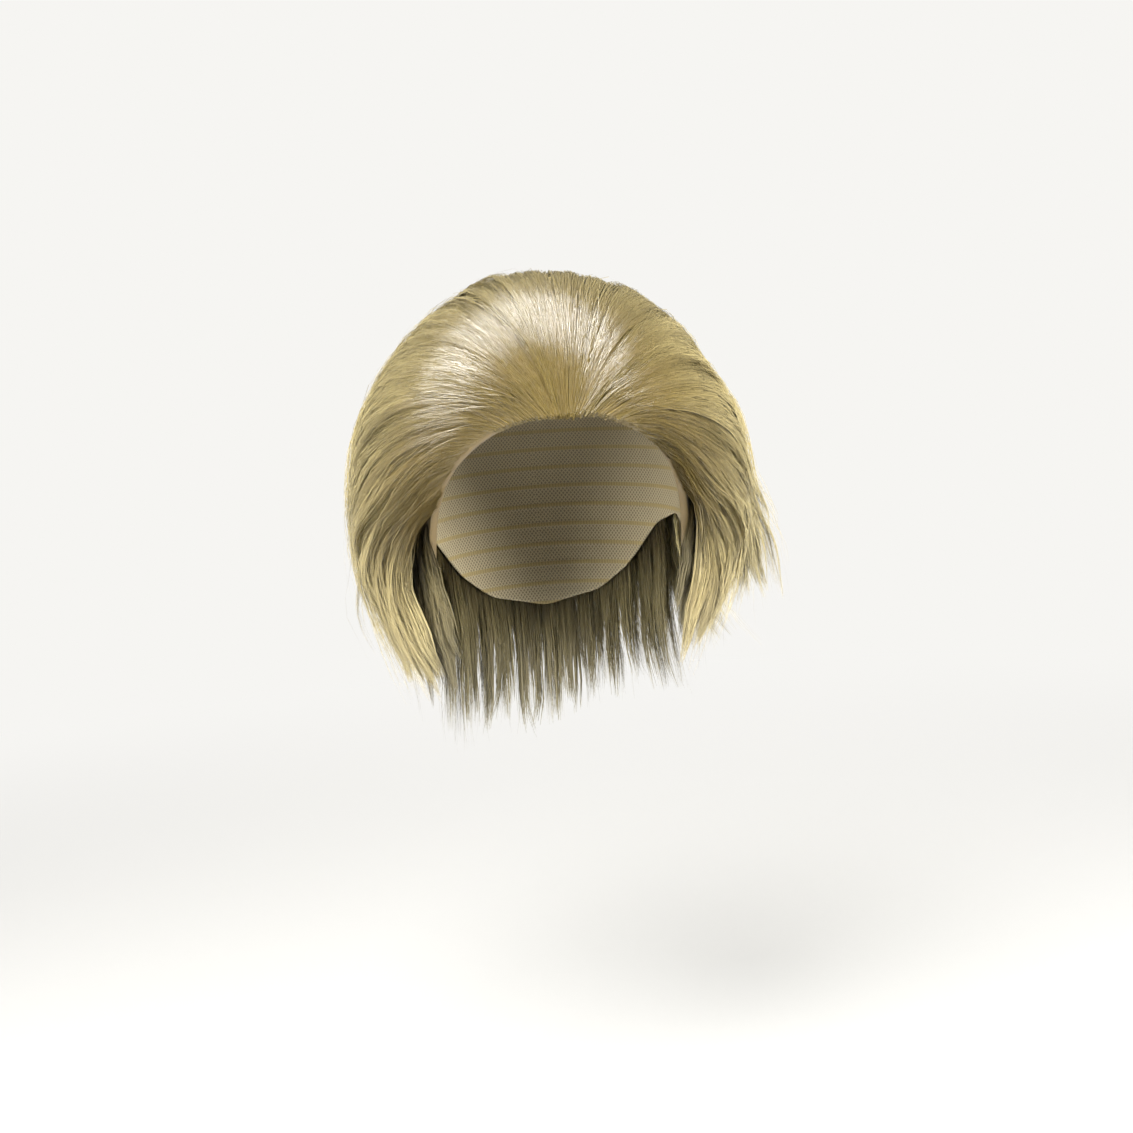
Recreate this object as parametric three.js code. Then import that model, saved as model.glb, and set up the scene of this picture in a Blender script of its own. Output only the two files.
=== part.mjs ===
import * as THREE from "three";
import { mergeVertices } from "three/addons/utils/BufferGeometryUtils.js";

// A short swept-back cosplay wig: a knitted net cap with its front edge bound in ribbon,
// and seven sections of hair, each a row of locks that part from one backing.
// Millimetres, +Z up, the face opening towards -Y and the wearer's left towards +X.
// The origin is the middle of the head opening, level with the ear tabs.

// The dome that the cap is knitted to
const CAP_BREADTH = 146;
const CAP_LENGTH = 188;
const CROWN_RISE = 93;
const WIDEST_Z = 40;
const NECK_DROP = 100;
const NECK_NARROW_SIDE = 0.1;
const NECK_NARROW_BACK = 0.24;

// The cap and its bound edge
const CAP_WALL = 1.5;
const CAP_TURNS = 52;
const CAP_RINGS = 7;
const CAP_CROWDING = 10;
const BINDING_WALL = 0.6;
const BINDING_WIDTH = 5;
const BINDING_REACH = 86;
const BINDING_SLACK = 0.9;

// The hair
const GAP = 0.35;
const ROOT_THICK = 2.4;
const TIP_THICK = 1.2;
const TIP_WIDTH = 0.12;
const TIP_POWER = 1.5;
const GROOVE = 0.4;
const STATIONS = 10;
const CREST_AT = 0.45;
const RISE_POWER = 2.2;
const FALL_POWER = 1.5;

// How unlike each other the locks are: in height, in flare as a part of how uneven their ends are,
// and in where their ridge runs as a part of their width
const CREST_STRAY = 1.5;
const FLARE_STRAY = 0.3;
const RIDGE_STRAY = 0.2;

// A place on the dome is a turn and a down. The turn goes round from the front in degrees, plus
// towards +X. The down is degrees from the crown as far as the widest level, at 90, and then
// millimetres below it. The lift is how far the place stands off the cap.

// The cap's edge from the middle of the front to the middle of the nape, alike on both sides
const EDGE = table(
  ["turn", "down"],
  [
    [0, 60],
    [14, 61],
    [28, 65],
    [39, 70],
    [50, 77],
    [60, 87],
    [66, 99],
    [71, 120],
    [77, 128],
    [84, 122],
    [100, 110],
    [118, 118],
    [135, 142],
    [152, 157],
    [180, 165],
  ],
);

// Each row is one way over the dome, from the hair's root to its tip. The bow is how far the way
// curves off the straight, as a part of its length. The crest is the lift of the hair's outside at
// its fullest, and the tip is that at its end.
const WAY_COLUMNS = ["rootTurn", "rootDown", "tipTurn", "tipDown", "bow", "crest", "tip"];

const FRONT_SWEEP_RIGHT = table(WAY_COLUMNS, [
  [-64, 95, -69, 190, -0.04, 23, 6],
  [-55, 82.5, -75, 190, -0.07, 32, 8],
  [-45, 74, -81, 187, -0.09, 36, 12],
  [-34, 67.8, -92, 183, -0.08, 36, 20],
  [-23, 63.7, -106, 173, -0.05, 34, 28],
  [-14, 61.6, -118, 152, -0.01, 30, 27],
  [-8, 61, -131, 132, 0.03, 27, 26],
]);

const CROWN_HAIR = table(WAY_COLUMNS, [
  [-7.4, 61, -131.7, 132, 0.03, 27, 26],
  [-3, 60.5, -156, 134, 0.03, 24, 26],
  [2, 60.5, -180, 136, 0, 23, 26],
  [6, 60.5, -204, 134, -0.03, 25, 26],
  [10.4, 61, -227.3, 130, -0.05, 28, 26],
]);

const FRONT_SWEEP_LEFT = table(WAY_COLUMNS, [
  [11, 61, 132, 130, -0.05, 28, 26],
  [17, 61.8, 118, 136, -0.05, 30, 33],
  [24, 63.9, 106, 146, -0.02, 31, 42],
  [30, 66.3, 98, 152, 0, 32, 51],
  [35, 69, 92, 160, -0.02, 32, 44],
  [38, 70.5, 88, 168, -0.03, 31, 17],
  [45, 74.5, 82, 173, -0.04, 29, 12],
  [53, 80.5, 74, 177, -0.04, 23, 6],
  [62, 91, 66, 180, -0.03, 14, 3],
]);

const SIDE_UNDER_RIGHT = table(WAY_COLUMNS, [
  [-68, 102, -64, 186, 0, 5, -3],
  [-88, 98, -80, 194, 0, 11, 0],
  [-110, 98, -106, 206, 0, 13, 8],
]);

const SIDE_UNDER_LEFT = table(WAY_COLUMNS, [
  [67, 101, 64, 170, 0, 5, -3],
  [86, 98, 80, 180, 0, 10, 0],
  [110, 98, 108, 194, 0, 12, 8],
]);

const BACK_HAIR = table(WAY_COLUMNS, [
  [-113, 72, -113, 188, 0, 14, 17],
  [-145, 62, -145, 192, 0, 13, 18],
  [-180, 58, -180, 196, 0, 13, 18],
  [-212, 62, -212, 192, 0, 13, 18],
  [-234, 68, -238, 190, 0, 14, 34],
  [-247, 72, -252, 190, 0, 14, 50],
]);

const NAPE_HAIR = table(WAY_COLUMNS, [
  [-114, 112, -113, 232, 0, 6, 6],
  [-148, 128, -148, 238, 0, 7, 8],
  [-180, 136, -180, 236, 0, 7, 8],
  [-212, 128, -212, 222, 0, 7, 8],
  [-246, 112, -249, 212, 0, 6, 14],
]);

// The locks of a section, their thickness, where along them they part, how uneven their ends are
// and how far their roots stand off the cap
const SECTIONS = table(
  ["name", "ways", "locks", "thick", "parting", "choppy", "foot", "colour"],
  [
    ["front_sweep_right", FRONT_SWEEP_RIGHT, 15, 9, 0.7, 7, 1.4, 0xcbb98a],
    ["crown_hair", CROWN_HAIR, 15, 8, 0.7, 8, 1.4, 0xc9b98d],
    ["front_sweep_left", FRONT_SWEEP_LEFT, 15, 9, 0.6, 12, 1.4, 0xc6b384],
    ["side_under_right", SIDE_UNDER_RIGHT, 7, 6, 0.6, 8, 1.4, 0x9c8a5c],
    ["side_under_left", SIDE_UNDER_LEFT, 7, 6, 0.6, 10, 1.4, 0x9c8a5c],
    ["back_hair", BACK_HAIR, 14, 6, 0.6, 8, GAP, 0xbcaa7b],
    ["nape_hair", NAPE_HAIR, 13, 4, 0.5, 10, GAP, 0xb3a172],
  ],
);

function table(columns, rows) {
  return rows.map((row) => Object.fromEntries(columns.map((name, i) => [name, row[i]])));
}

function smooth(x) {
  const t = THREE.MathUtils.clamp(x, 0, 1);
  return t * t * (3 - 2 * t);
}

// A fixed unevenness between -1 and 1 for each lock and use
function stray(lock, use) {
  const x = Math.sin(lock * 12.9898 + use * 78.233) * 43758.5453;
  return 2 * (x - Math.floor(x)) - 1;
}

function headPoint(turn, down, lift) {
  const round = THREE.MathUtils.degToRad(turn);
  const [a, b, c] = [CAP_BREADTH / 2, CAP_LENGTH / 2, CROWN_RISE];
  const out = new THREE.Vector3();
  const place = new THREE.Vector3();
  if (down <= 90) {
    const fall = THREE.MathUtils.degToRad(down);
    const flat = Math.sin(fall);
    place.set(a * Math.sin(round) * flat, -b * Math.cos(round) * flat, c * Math.cos(fall));
    out.set(place.x / (a * a), place.y / (b * b), place.z / (c * c));
    place.z += WIDEST_Z;
  } else {
    const narrow = smooth((down - 90) / NECK_DROP);
    const side = a * (1 - NECK_NARROW_SIDE * narrow);
    const back = b * (1 - NECK_NARROW_BACK * narrow);
    place.set(side * Math.sin(round), -back * Math.cos(round), WIDEST_Z - (down - 90));
    out.set(Math.sin(round) / a, -Math.cos(round) / b, 0);
  }
  return place.addScaledVector(out.normalize(), lift);
}

// The dome laid out flat round its crown, and back
function laidOut(turn, down) {
  const round = THREE.MathUtils.degToRad(turn);
  return new THREE.Vector2(down * Math.sin(round), -down * Math.cos(round));
}

function headAt(place, lift) {
  const turn = THREE.MathUtils.radToDeg(Math.atan2(place.x, -place.y));
  return headPoint(turn, place.length(), lift);
}

function edgeDown(turn) {
  const at = Math.min(180, Math.abs(turn));
  const next = Math.max(1, EDGE.findIndex((row) => row.turn >= at));
  const [low, high] = [EDGE[next - 1], EDGE[next]];
  return THREE.MathUtils.mapLinear(at, low.turn, high.turn, low.down, high.down);
}

// A closed body of polygons, all turned the same way round
function closedBody(polygons) {
  const corners = [];
  for (const polygon of polygons) {
    for (let i = 1; i < polygon.length - 1; i++) {
      corners.push(polygon[0], polygon[i], polygon[i + 1]);
    }
  }
  let volume = 0;
  for (let i = 0; i < corners.length; i += 3) {
    volume += corners[i].dot(corners[i + 1].clone().cross(corners[i + 2]));
  }
  if (volume < 0) {
    corners.reverse();
  }
  const geometry = new THREE.BufferGeometry().setFromPoints(corners);
  return mergeVertices(geometry, 1e-4);
}

// The cap's columns are closer together at the ear tabs, where its edge bends most.
function capTurn(column) {
  const part = (2 * column) / CAP_TURNS - 1;
  return 180 * part + CAP_CROWDING * Math.sin(2 * Math.PI * part);
}

function cap() {
  const at = (ring, column, lift) => {
    const turn = capTurn(column % CAP_TURNS);
    return headPoint(turn, (edgeDown(turn) * ring) / CAP_RINGS, lift);
  };
  const polygons = [];
  for (let column = 0; column < CAP_TURNS; column++) {
    const next = column + 1;
    for (let ring = 1; ring < CAP_RINGS; ring++) {
      const quad = (lift) => [
        at(ring, column, lift),
        at(ring + 1, column, lift),
        at(ring + 1, next, lift),
        at(ring, next, lift),
      ];
      polygons.push(quad(0), quad(-CAP_WALL).reverse());
    }
    const crown = (lift) => [headPoint(0, 0, lift), at(1, column, lift), at(1, next, lift)];
    polygons.push(crown(0), crown(-CAP_WALL).reverse());
    const rim = (end, lift) => at(CAP_RINGS, end, lift);
    polygons.push([rim(column, 0), rim(column, -CAP_WALL), rim(next, -CAP_WALL), rim(next, 0)]);
  }
  return closedBody(polygons);
}

// A ribbon folded over the cap's front edge, its slot towards the crown
function edgeBinding() {
  const rim = (column) => laidOut(capTurn(column), edgeDown(capTurn(column)));
  const [near, far] = [GAP, GAP + BINDING_WALL];
  const inside = -CAP_WALL - BINDING_SLACK;
  const stations = [];
  for (let column = 0; column < CAP_TURNS; column++) {
    if (Math.abs(capTurn(column)) < BINDING_REACH) {
      const run = rim(column + 1).sub(rim(column - 1)).normalize();
      const away = new THREE.Vector2(run.y, -run.x);
      const corner = (beyond, lift) => headAt(rim(column).addScaledVector(away, beyond), lift);
      stations.push({
        outer: [
          corner(-BINDING_WIDTH, far),
          corner(far, far),
          corner(far, inside - far),
          corner(-BINDING_WIDTH, inside - far),
        ],
        inner: [
          corner(-BINDING_WIDTH, near),
          corner(near, near),
          corner(near, inside - near),
          corner(-BINDING_WIDTH, inside - near),
        ],
      });
    }
  }
  const section = ({ outer, inner }, i) => [outer[i], outer[i + 1], inner[i + 1], inner[i]];
  const polygons = [];
  for (let i = 0; i < 3; i++) {
    polygons.push(section(stations[0], i).reverse(), section(stations.at(-1), i));
  }
  for (let k = 0; k < stations.length - 1; k++) {
    const ring = ({ outer, inner }) => [...outer, ...inner.toReversed()];
    const [here, there] = [ring(stations[k]), ring(stations[k + 1])];
    here.forEach((corner, i) => {
      const next = (i + 1) % here.length;
      polygons.push([corner, here[next], there[next], there[i]]);
    });
  }
  return closedBody(polygons);
}

// All the columns of a section's ways, part of the way from its first row to its last
function wayAt(ways, part) {
  const place = THREE.MathUtils.clamp(part, 0, 1) * (ways.length - 1);
  const low = Math.min(Math.floor(place), ways.length - 2);
  const mix = (name) => THREE.MathUtils.lerp(ways[low][name], ways[low + 1][name], place - low);
  return Object.fromEntries(WAY_COLUMNS.map((name) => [name, mix(name)]));
}

function liftAt(way, along, foot) {
  const base = foot + ROOT_THICK;
  if (along < CREST_AT) {
    return base + (way.crest - base) * (1 - (1 - along / CREST_AT) ** RISE_POWER);
  }
  const fall = ((along - CREST_AT) / (1 - CREST_AT)) ** FALL_POWER;
  return THREE.MathUtils.lerp(way.crest, way.tip, fall);
}

// A point of the hair: along is 0 at the root and 1 at the tip, and depth is under its outside
function hairPoint(way, along, foot, depth) {
  const root = laidOut(way.rootTurn, way.rootDown);
  const chord = laidOut(way.tipTurn, way.tipDown).sub(root);
  const bow = way.bow * 4 * along * (1 - along);
  const place = root.addScaledVector(chord, along);
  place.add(new THREE.Vector2(-chord.y, chord.x).multiplyScalar(bow));
  return headAt(place, liftAt(way, along, foot) - depth);
}

// Neighbouring locks share an edge from their roots to where they part, so a section is one body.
function hair({ ways, locks, thick, parting, choppy, foot }) {
  const part = Math.round(parting * STATIONS);
  const ring = (number, k) => {
    const along = k / STATIONS;
    const free = Math.max(0, (k - part) / (STATIONS - part)) ** TIP_POWER;
    const body = THREE.MathUtils.lerp(ROOT_THICK, thick, smooth(along / CREST_AT));
    const depth = THREE.MathUtils.lerp(body, TIP_THICK, free);
    const way = wayAt(ways, (number + 0.5 + RIDGE_STRAY * stray(number, 4)) / locks);
    way.tipDown += choppy * stray(number, 1);
    way.crest += CREST_STRAY * stray(number, 2);
    way.tip += FLARE_STRAY * choppy * stray(number, 3);
    const middle = hairPoint(way, along, foot, depth / 2);
    const ridge = hairPoint(way, along, foot, 0);
    const edge = (side, under) => {
      const corner = hairPoint(wayAt(ways, (number + side) / locks), along, foot, under);
      return corner.lerp(middle, free * (1 - TIP_WIDTH));
    };
    return [edge(0, GROOVE * depth), ridge, edge(1, GROOVE * depth), edge(1, depth), edge(0, depth)];
  };
  const polygons = [];
  for (let number = 0; number < locks; number++) {
    for (let k = 0; k < STATIONS; k++) {
      const [here, there] = [ring(number, k), ring(number, k + 1)];
      here.forEach((corner, i) => {
        const next = (i + 1) % here.length;
        const shared = k < part && ((i === 2 && number < locks - 1) || (i === 4 && number > 0));
        if (!shared) {
          polygons.push([corner, here[next], there[next], there[i]]);
        }
      });
    }
    polygons.push(ring(number, 0).reverse(), ring(number, STATIONS));
  }
  return closedBody(polygons);
}

function piece(name, geometry, colour, roughness) {
  geometry.computeVertexNormals();
  const material = new THREE.MeshStandardMaterial({ color: colour, roughness, metalness: 0 });
  const mesh = new THREE.Mesh(geometry, material);
  mesh.name = name;
  return mesh;
}

const wig = new THREE.Group();
wig.name = "wig";
wig.add(piece("cap", cap(), 0xb9a77c, 0.9));
wig.add(piece("edge_binding", edgeBinding(), 0xb89a5c, 0.7));
for (const section of SECTIONS) {
  wig.add(piece(section.name, hair(section), section.colour, 0.45));
}

export default wig;
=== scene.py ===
import math

import bpy
import numpy as np
from mathutils import Matrix, Vector


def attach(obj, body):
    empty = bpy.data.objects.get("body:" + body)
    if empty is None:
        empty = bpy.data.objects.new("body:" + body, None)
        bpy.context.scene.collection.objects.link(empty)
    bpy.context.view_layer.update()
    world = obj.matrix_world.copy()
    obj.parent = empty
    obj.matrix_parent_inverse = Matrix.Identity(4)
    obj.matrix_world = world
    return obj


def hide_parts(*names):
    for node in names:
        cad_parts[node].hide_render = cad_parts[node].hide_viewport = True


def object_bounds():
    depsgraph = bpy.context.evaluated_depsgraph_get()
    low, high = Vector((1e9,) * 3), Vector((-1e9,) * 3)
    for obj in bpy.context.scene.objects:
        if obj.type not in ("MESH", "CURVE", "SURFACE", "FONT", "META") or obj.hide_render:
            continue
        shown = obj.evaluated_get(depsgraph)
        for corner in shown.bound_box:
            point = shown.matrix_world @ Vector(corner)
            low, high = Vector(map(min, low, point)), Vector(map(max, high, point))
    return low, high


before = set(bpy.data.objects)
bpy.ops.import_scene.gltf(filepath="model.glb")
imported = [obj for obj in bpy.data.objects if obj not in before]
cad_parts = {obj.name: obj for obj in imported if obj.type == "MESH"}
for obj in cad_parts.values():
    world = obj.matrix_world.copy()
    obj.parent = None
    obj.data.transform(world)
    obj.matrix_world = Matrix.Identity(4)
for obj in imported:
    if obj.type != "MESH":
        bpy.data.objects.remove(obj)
cad_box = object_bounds()

bl_info = {
    "name": "Swept-back cosplay wig",
    "version": (1, 0, 0),
    "blender": (4, 5, 0),
    "location": "3D View > Sidebar > Wig",
    "description": "Combs the fibres, knits the cap and folds the bound edge of a short blonde wig",
    "category": "Add Mesh",
}

BODY = "root"
MM = 0.001

# The dome that the cap is knitted to, in millimetres, as in the part's source
CAP_BREADTH = 146
CAP_LENGTH = 188
CROWN_RISE = 93
WIDEST_Z = 40
NECK_DROP = 100
NECK_NARROW_SIDE = 0.1
NECK_NARROW_BACK = 0.24
CAP_WALL = 1.5
CAP_CROWDING = 10
BINDING_WALL = 0.6
BINDING_WIDTH = 5
BINDING_REACH = 86
BINDING_SLACK = 0.9
GAP = 0.35

# How the hair stands off the cap and thins out, as in the part's source
ROOT_THICK = 2.4
TIP_THICK = 1.2
TIP_POWER = 1.5
CREST_AT = 0.45
RISE_POWER = 2.2
FALL_POWER = 1.5
CREST_STRAY = 1.5
FLARE_STRAY = 0.3
RIDGE_STRAY = 0.2

# What each lock's fixed unevenness is used for
FOR_TIP, FOR_CREST, FOR_FLARE, FOR_RIDGE, FOR_CREASE, FOR_SHADE = range(1, 7)

# A place on the dome is a turn and a down. The turn goes round from the front in degrees, plus
# towards +X. The down is degrees from the crown as far as the widest level, at 90, and then
# millimetres below it. The lift is how far the place stands off the cap.

# The cap's edge from the middle of the front to the middle of the nape: turn, down
EDGE = np.array([
    (0, 60),
    (14, 61),
    (28, 65),
    (39, 70),
    (50, 77),
    (60, 87),
    (66, 99),
    (71, 120),
    (77, 128),
    (84, 122),
    (100, 110),
    (118, 118),
    (135, 142),
    (152, 157),
    (180, 165),
], float)

# Turns over which the edge's corners are rounded off
EDGE_ROUNDING = np.linspace(-4, 4, 9)

# Each row is one way of the hair over the dome, from its root to its tip
WAY_COLUMNS = ("root_turn", "root_down", "tip_turn", "tip_down", "bow", "crest", "tip")
WAYS = {
    "front_sweep_right": [
        (-64, 95, -69, 190, -0.04, 23, 6),
        (-55, 82.5, -75, 190, -0.07, 32, 8),
        (-45, 74, -81, 187, -0.09, 36, 12),
        (-34, 67.8, -92, 183, -0.08, 36, 20),
        (-23, 63.7, -106, 173, -0.05, 34, 28),
        (-14, 61.6, -118, 152, -0.01, 30, 27),
        (-8, 61, -131, 132, 0.03, 27, 26),
    ],
    "crown_hair": [
        (-7.4, 61, -131.7, 132, 0.03, 27, 26),
        (-3, 60.5, -156, 134, 0.03, 24, 26),
        (2, 60.5, -180, 136, 0, 23, 26),
        (6, 60.5, -204, 134, -0.03, 25, 26),
        (10.4, 61, -227.3, 130, -0.05, 28, 26),
    ],
    "front_sweep_left": [
        (11, 61, 132, 130, -0.05, 28, 26),
        (17, 61.8, 118, 136, -0.05, 30, 33),
        (24, 63.9, 106, 146, -0.02, 31, 42),
        (30, 66.3, 98, 152, 0, 32, 51),
        (35, 69, 92, 160, -0.02, 32, 44),
        (38, 70.5, 88, 168, -0.03, 31, 17),
        (45, 74.5, 82, 173, -0.04, 29, 12),
        (53, 80.5, 74, 177, -0.04, 23, 6),
        (62, 91, 66, 180, -0.03, 14, 3),
    ],
    "side_under_right": [
        (-68, 102, -64, 186, 0, 5, -3),
        (-88, 98, -80, 194, 0, 11, 0),
        (-110, 98, -106, 206, 0, 13, 8),
    ],
    "side_under_left": [
        (67, 101, 64, 170, 0, 5, -3),
        (86, 98, 80, 180, 0, 10, 0),
        (110, 98, 108, 194, 0, 12, 8),
    ],
    "back_hair": [
        (-113, 72, -113, 188, 0, 14, 17),
        (-145, 62, -145, 192, 0, 13, 18),
        (-180, 58, -180, 196, 0, 13, 18),
        (-212, 62, -212, 192, 0, 13, 18),
        (-234, 68, -238, 190, 0, 14, 34),
        (-247, 72, -252, 190, 0, 14, 50),
    ],
    "nape_hair": [
        (-114, 112, -113, 232, 0, 6, 6),
        (-148, 128, -148, 238, 0, 7, 8),
        (-180, 136, -180, 236, 0, 7, 8),
        (-212, 128, -212, 222, 0, 7, 8),
        (-246, 112, -249, 212, 0, 6, 14),
    ],
}

# Each section's locks, their thickness, where they part, how uneven their ends are, how far their
# roots stand off the cap, how far back its fibres end, how far their ends turn to the front, how
# near the outside its fine fibres lie and how far its wisps stray. Then its fine outer fibres, its
# broad inner ones and its short ones at the hairline, each as how many there are and how many
# steps each one bends in.
SECTION_COLUMNS = (
    "locks", "thick", "parting", "choppy", "foot", "feather", "frontal", "surface", "tousle",
    "fine", "fine_steps", "broad", "broad_steps", "hairline", "hairline_steps")
SECTIONS = {
    "front_sweep_right": (15, 9, 0.7, 8, 1.4, 0.35, 1, 3.5, 1.3, 6500, 12, 1900, 8, 600, 6),
    "crown_hair": (15, 8, 0.7, 8, 1.4, 0.25, 0, 3.5, 1.3, 6500, 12, 1900, 8, 600, 6),
    "front_sweep_left": (15, 9, 0.6, 12, 1.4, 0.22, 1, 3.5, 2.0, 6500, 12, 1900, 8, 600, 6),
    "side_under_right": (7, 6, 0.6, 8, 1.4, 0.4, 1, 2, 1.5, 1700, 10, 500, 7, 0, 0),
    "side_under_left": (7, 6, 0.6, 10, 1.4, 0.4, 1, 2, 1.5, 1700, 10, 500, 7, 0, 0),
    "back_hair": (14, 6, 0.6, 8, GAP, 0.35, 0, 3, 1.2, 4600, 11, 1400, 8, 0, 0),
    "nape_hair": (13, 4, 0.8, 7, GAP, 0.6, 0, 1.1, 1.2, 4200, 10, 800, 7, 0, 0),
}
FIRST_SEED = 11
SEEDS = {name: FIRST_SEED + number for number, name in enumerate(SECTIONS)}

# Fibres of one look share a column of the hair's colour map, from dark to pale, twice over: once for
# the fibres that show and once for those that lie deep, past a part of the thickness, whose column is
# darkened as painted shade. A margin is left at a column's sides and ends.
SHADES = 32
LOOKS = 2 * SHADES
MAP_NAME = "OFBake"
MAP_EDGE = 0.1
MAP_END = 0.005
DEEP_FROM = 0.5

# Where along a fibre the root's colour, darkened as painted shade, gives way to the middle one and that
# to the end's, how much of the dark colour the darkest fibres take, how bright the deep ones are under
# their painted shade and how rough the darkest and the palest are
ROOT_FADE = (0.08, 0.46)
END_FADE = (0.5, 0.95)
DARKEST = 0.6
DEEP_PAINTED_SHADE = 0.85
ROUGHNESS = (0.32, 0.24)

# How bright the hair on top is, and the hair under it, which is darkened as painted shade
TOP_TONE = 1.0
UNDER_PAINTED_SHADE = 0.38

# How far a fibre's shading turns from its middle to its side, as on a round one
FIBRE_ROUND = math.radians(55)

# How far the fibres at a lock's sides lean out, as on a round one, and how deep the creases beside it
# are, as the least part of its thickness and how much more at most. How uneven its ends are when its
# wisps draw right in to its ridge at the tip.
LOCK_ROUND = math.radians(40)
CREASE_LEAST = 0.05
CREASE_MORE = 0.38
CHOPPY_PULL = 14

# Which way the front is
FORWARD = np.array([0.0, -1.0, 0.0])

# How wisps differ. A pair is a range, and a lone number is a usual stray: the bow as a part of the
# way, the wave and height in millimetres, the shade as a part of the map and the lean as a part of
# the section.
WISP_WIDTH = (0.45, 1.55)
WISP_BOW = 0.014
WISP_WAVE = 1.6
WISP_HEIGHT = 0.45
WISP_RIPPLES = (1.8, 3.2)
WISP_SHADE = 0.11
WISP_LEAN = 0.02
WISP_SPREAD = (1, 1.7)
WISP_GATHER = (0.3, 1.5)
WISP_SHORTER = 0.022
WISP_SHORTER_POWER = 1.6

# Shorter wisps that lie over the rest: how many, how long, how high and how far they lean
OVER_SHARE = 0.2
OVER_LENGTH = (0.5, 0.88)
OVER_HEIGHT = (0.3, 1.5)
OVER_LEAN = 2.2

# Wisps whose ends stand off: how many, how far, and how far they are drawn to a point
OFF_SHARE = 0.06
OFF_HEIGHT = (4, 13)
POINTED = 0.75

# Fibres inside a section: how near the outside they come, how they crowd there, and how much of a
# wisp's straying they share
INNER_DEPTH = 0.12
INNER_POWER = 1.4
INNER_CALM = 0.2

# How single fibres differ. A pair is a range, and a lone number is a usual stray. Lengths are parts
# of the way, and heights, slants and wanders are in millimetres.
SHORT_SHARE = 0.08
SHORT_LENGTH = (0.5, 0.9)
LOOSE_LENGTH = (0.55, 1.06)
LOOSE_HEIGHT = (1.5, 8)
LOOSE_WANDER = 6
SLANTED_SHARE = 0.12
SLANT = 5
HAIRLINE_UNDER = 0.5
HAIRLINE_LENGTH = (0.06, 0.24)
HAIRLINE_SLANT = 34
FIBRE_CROWDING = 1.12
FEATHER_POWER = 1.5
FIBRE_BOW = 0.004
FIBRE_WANDER = 0.7
FIBRE_WANDERS = (0.4, 1.1)
FIBRE_SHIFT = 0.5
FIBRE_HEIGHT = 0.22
FIBRE_RIPPLES = (2, 4)
FIBRE_TILT = 0.35
FIBRE_THICKNESS = (0.75, 1.25)
FIBRE_SHADE = 0.09

# Over what part of the way from the root a fibre leaves the cap and comes on to its way, and its
# straying, spreading and standing loose grow
FOOT_OVER = 0.06
BEFORE_OVER = 0.08
STRAY_OVER = 0.3
SPREAD_OVER = 0.4
LOOSE_OVER = 0.8

# From where along the way, and over what part of it, ends stand off and fibres turn to the front
OFF_FROM = 0.3
OFF_OVER = 0.5
FRONTAL_FROM = 0.3
FRONTAL_OVER = 0.4

# Where along the way wisps start to gather, how much of that the loose and inner fibres share, where
# fibres start to taper and how thin their tips are
GATHER_FROM = 0.4
LOOSE_GATHER = 0.2
TAPER_FROM = 0.72
TAPER_TO = 0.15

# Roots: how high they sit as a part of the foot and how much higher they stray, how far a fibre
# starts in front of its way, and how much lower the front ones sit, out to the last turn and fading
# over the turns before it
FOOT_LEAST = 0.75
FOOT_STRAY = 0.9
ROOT_BEFORE = (1, 1.9)
ROOT_LOW = 4.2
ROOT_LOW_LAST = 68
ROOT_LOW_FADE = 8

# Shades from dark at 0 to pale at 1: the usual one, how far locks differ, and how much painted shade
# darkens the hair at the temples, from which turn and over how many
MEAN_SHADE = 0.55
LOCK_SHADE = 0.17
TEMPLE_PAINTED_SHADE = 0.5
TEMPLE_TURN = 40
TEMPLE_FADE = 18

# Rows of weft start this many rows down from the crown
FIRST_WEFT_ROW = 6

# The cap's rings start this part of the way from the crown to the edge
CROWN_RING = 0.004


def linear(colour):
    """An sRGB hex colour as linear red, green, blue and alpha."""
    parts = [int(colour[i:i + 2], 16) / 255 for i in (1, 3, 5)]
    return tuple(c / 12.92 if c <= 0.04045 else ((c + 0.055) / 1.055) ** 2.4 for c in parts) + (1.0,)


def colour_setting(name, description, colour):
    """A setting for a colour, from an sRGB hex colour."""
    return bpy.props.FloatVectorProperty(
        name=name, description=description, subtype="COLOR", size=4, default=linear(colour))


class HairSettings(bpy.types.PropertyGroup):
    fibre_width: bpy.props.FloatProperty(
        name="Fibre width",
        description="Width of a fine fibre, drawn about four times as broad as a real one so that it shows",
        default=0.26 * MM, min=0, subtype="DISTANCE", unit="LENGTH")
    broad_width: bpy.props.FloatProperty(
        name="Broad width",
        description="Width of the fibre bundles that fill the inside of a section",
        default=0.85 * MM, min=0, subtype="DISTANCE", unit="LENGTH")
    wisps: bpy.props.IntProperty(
        name="Wisps", description="Wisps that each lock falls into", default=6, min=1)
    gather: bpy.props.FloatProperty(
        name="Gather", description="How far a wisp's fibres draw together at its tip",
        default=0.5, min=0, max=1, subtype="FACTOR")
    fly_away: bpy.props.FloatProperty(
        name="Fly-away", description="Share of the fibres that stand off the rest",
        default=0.07, min=0, max=1, subtype="FACTOR")
    # The darker root colour is painted shade
    root: colour_setting("Root", "Colour at the root", "#564a26")
    middle: colour_setting("Middle", "Colour half way", "#b2a474")
    end: colour_setting("End", "Colour at the tip", "#b9ad82")
    # The dark colour serves fibres that are darker at random, and the painted shade at the temples
    dark_and_painted_shade: colour_setting("Dark", "Colour of the darkest fibres", "#5a4a28")


class CapSettings(bpy.types.PropertyGroup):
    net: colour_setting("Net", "Colour of the knitted net", "#968b70")
    weft: colour_setting("Weft", "Colour of the sewn rows of weft", "#857650")
    weft_rows: bpy.props.FloatProperty(
        name="Weft rows", description="Distance from one row of weft to the next",
        default=11 * MM, min=1 * MM, subtype="DISTANCE", unit="LENGTH")
    weft_rise: bpy.props.FloatProperty(
        name="Weft rise", description="How far a row of weft stands out inside the cap",
        default=0.5 * MM, min=0, subtype="DISTANCE", unit="LENGTH")
    ribbon: colour_setting("Ribbon", "Colour of the bound edge", "#594928")


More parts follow.
